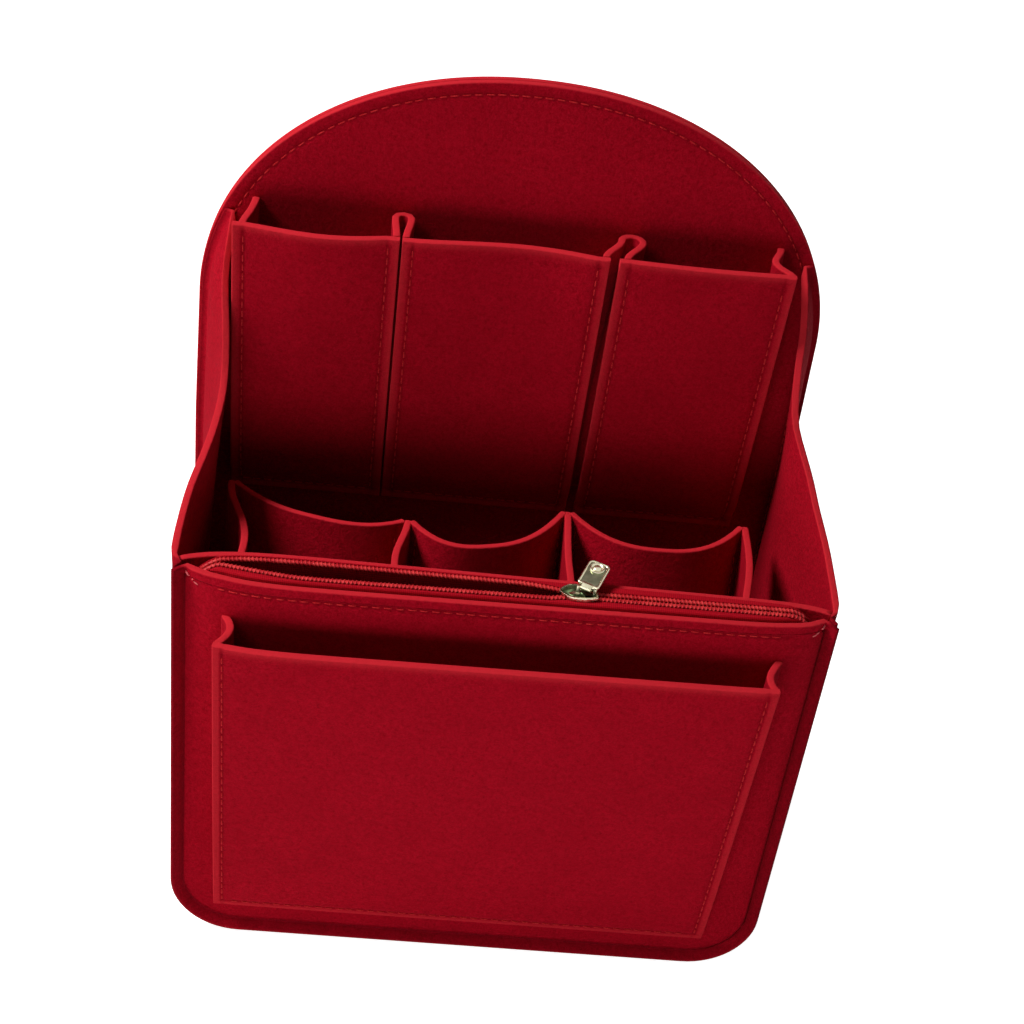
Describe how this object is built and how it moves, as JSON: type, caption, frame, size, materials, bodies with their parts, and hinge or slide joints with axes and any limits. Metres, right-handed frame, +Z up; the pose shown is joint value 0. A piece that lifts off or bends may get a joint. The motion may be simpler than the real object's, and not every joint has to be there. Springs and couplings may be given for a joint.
{
  "type": "bag organizer insert",
  "caption": "Felt organizer insert with a tall domed back, zipped front compartment, outer front pocket and rows of inner pockets in an open bag-shaped body.",
  "frame": {"origin": "middle of the flat underside of the base, halfway between the front and the back panel", "axes": "+X across, to the right as seen from the front; +Y from the front panel to the back panel; +Z up"},
  "size_m": [0.215, 0.1164, 0.2937],
  "materials": {
    "felt": "matte pressed wool-look felt",
    "zip_tape": "woven polyester tape",
    "zip_coil": "dyed nylon coil",
    "zip_metal": "pale nickel plate"
  },
  "bodies": {
    "felt_body": {"front_panel": "felt", "side_gusset": "felt", "zip_pocket_rear_panel": "felt", "back_panel_outer": "felt", "back_panel_inner": "felt", "tall_pocket_panel_1": "felt", "tall_pocket_panel_2": "felt", "tall_pocket_panel_3": "felt", "tall_pocket_strip_1": "felt", "tall_pocket_strip_2": "felt", "tall_pocket_strip_3": "felt", "tall_pocket_strip_4": "felt", "lower_pocket_panel_1": "felt", "lower_pocket_panel_2": "felt", "lower_pocket_panel_3": "felt", "lower_pocket_divider_1": "felt", "lower_pocket_divider_2": "felt", "lower_pocket_divider_3": "felt", "lower_pocket_divider_4": "felt", "front_pocket_panel": "felt", "front_pocket_gusset_left": "felt", "front_pocket_gusset_right": "felt", "zip_tape_front": "zip_tape", "zip_tape_rear": "zip_tape", "zip_coil_front": "zip_coil", "zip_coil_rear": "zip_coil"},
    "zip_slider": {"zip_slider_body": "zip_metal"},
    "pull_tab": {"zip_pull_tab": "zip_metal"}
  },
  "joints": [
    {"name": "zip_slide", "type": "slide", "parent": "felt_body", "child": "zip_slider", "axis": [1, 0, 0], "range_m": [-0.104, 0.05], "deforming": ["zip_coil_front", "zip_coil_rear", "zip_tape_front", "zip_tape_rear"]},
    {"name": "pull_tab_hinge", "type": "hinge", "parent": "zip_slider", "child": "pull_tab", "pos_m": [0.0237, -0.0457, 0.16735], "axis": [1, 0, 0], "range_deg": [-10, 150]}
  ]
}
